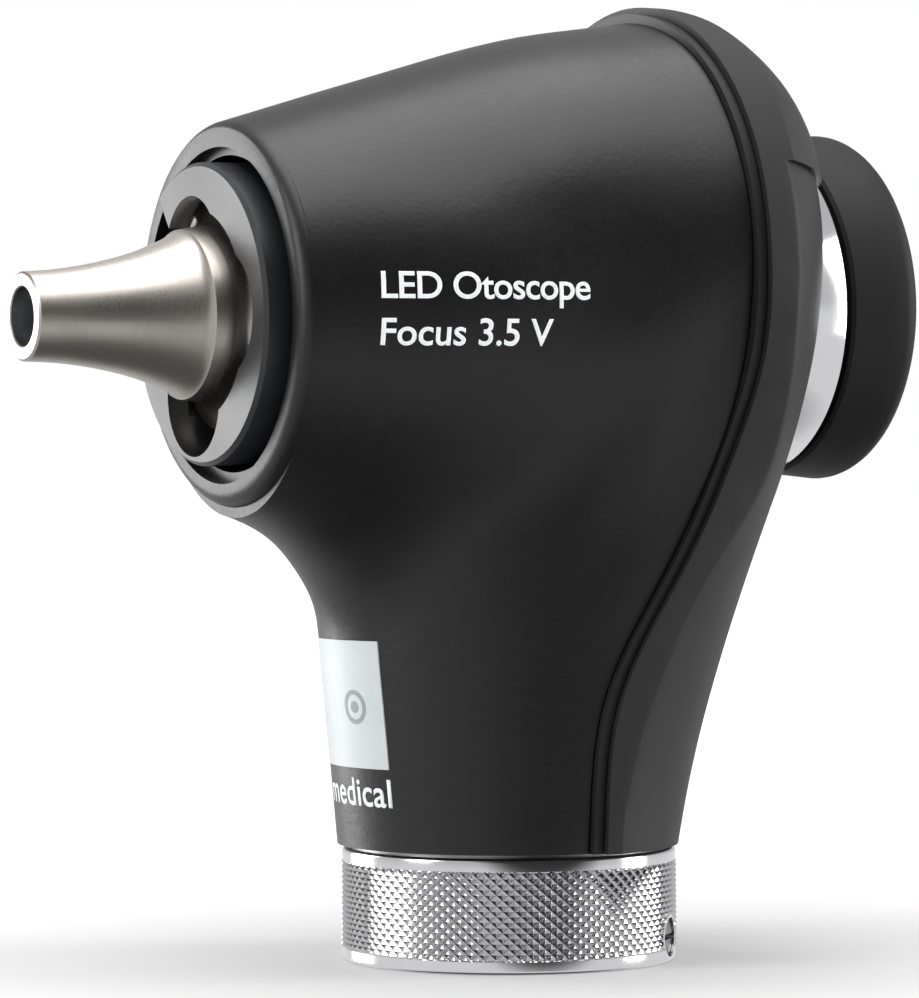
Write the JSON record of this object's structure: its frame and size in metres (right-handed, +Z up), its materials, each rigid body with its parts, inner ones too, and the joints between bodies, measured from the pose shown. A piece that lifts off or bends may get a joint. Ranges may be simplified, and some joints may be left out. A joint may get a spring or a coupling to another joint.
{
  "type": "otoscope head",
  "caption": "Otoscope head: tapered steel nose in a blended barrel and neck, focus wheel and rubber eyepiece guard at the back, knurled chrome handle collar below.",
  "frame": {"origin": "centre of the handle socket's mouth, in the plane of the collar's lower face", "axes": "+Z up along the neck and socket, the steel nose points to -Y and the eyepiece to +Y, +X to the user's left looking through the eyepiece from behind"},
  "size_m": [0.0444, 0.0706, 0.074],
  "materials": {
    "shell_black": "satin, fine texture",
    "bumper_black": "soft-touch matt",
    "rubber_black": "matt",
    "seal_rubber": "matt",
    "label_white": "satin print",
    "nose_steel": "turned satin",
    "seat_black": "satin",
    "anodised_black": "black anodised",
    "aluminium_plain": "machined",
    "liner_steel": "machined",
    "collar_chrome": "bright, knurled",
    "wheel_chrome": "bright",
    "screw_steel": "plated",
    "port_steel": "turned",
    "optical_glass": "polished, coated",
    "fibre_bundle": "polished fibre ends",
    "guide_sheath": "smooth",
    "insulator_plastic": "moulded",
    "lamp_brass": "nickel-washed",
    "contact_brass": "gold-washed",
    "spring_steel": "wire",
    "emitter_phosphor": "phosphor"
  },
  "bodies": {
    "head": {"front_housing": "shell_black", "rear_housing": "bumper_black", "seam_gasket": "seal_rubber", "front_label": "label_white", "insufflation_port": "port_steel", "nose_cone": "nose_steel", "speculum_seat_ring": "seat_black", "front_frame": "anodised_black", "frame_screws": "screw_steel", "nose_nut": "anodised_black", "nose_o_ring": "seal_rubber", "nose_window": "optical_glass", "fibre_ring": "fibre_bundle", "light_guide": "guide_sheath", "optics_tube": "anodised_black", "front_window": "optical_glass", "field_stop": "anodised_black", "wave_washer": "screw_steel", "eyepiece_tube": "anodised_black", "eyepiece_lens": "optical_glass", "lens_retaining_ring": "anodised_black", "lens_seal": "seal_rubber", "chassis": "aluminium_plain", "chassis_screws": "screw_steel", "base_collar": "collar_chrome", "socket_liner": "liner_steel", "clamp_ring": "aluminium_plain", "insulator_disc": "insulator_plastic", "lamp_holder": "aluminium_plain"},
    "focus_wheel": {"focus_wheel": "wheel_chrome"},
    "focus_carriage": {"focus_cell": "anodised_black", "focus_lens": "optical_glass", "focus_pins": "screw_steel"},
    "brow_guard": {"brow_guard": "rubber_black"},
    "lamp": {"lamp_body": "lamp_brass", "lamp_emitter": "emitter_phosphor", "lamp_lens": "optical_glass"},
    "contact": {"contact_pin": "contact_brass", "contact_spring": "spring_steel"},
    "set_screw": {"lock_set_screw": "screw_steel"}
  },
  "joints": [
    {"name": "focus_turn", "type": "hinge", "parent": "head", "child": "focus_wheel", "pos_m": [0, 0, 0.0501], "axis": [0, -0.9997, -0.0227], "range_deg": [-60, 60]},
    {"name": "focus_slide", "type": "slide", "parent": "head", "child": "focus_carriage", "axis": [0, -0.9997, -0.0227], "range_m": [-0.00151, 0.00151]},
    {"name": "brow_guard_pull", "type": "slide", "parent": "head", "child": "brow_guard", "axis": [0, 0.9997, 0.0227], "range_m": [0, 0.006]},
    {"name": "lamp_pull", "type": "slide", "parent": "head", "child": "lamp", "axis": [0, 0, -1], "range_m": [0, 0.008]},
    {"name": "contact_press", "type": "slide", "parent": "lamp", "child": "contact", "axis": [0, 0, 1], "range_m": [0, 0.0015], "stiffness_N_per_m": 300, "springref_m": -0.001, "deforming": ["contact_spring"]},
    {"name": "set_screw_advance", "type": "slide", "parent": "head", "child": "set_screw", "axis": [-0.7071, -0.7071, 0], "range_m": [0, 0.001]}
  ],
  "couplings": [
    {"joint": "focus_slide", "follows": "focus_turn", "m_per_rad": 0.0014324}
  ]
}
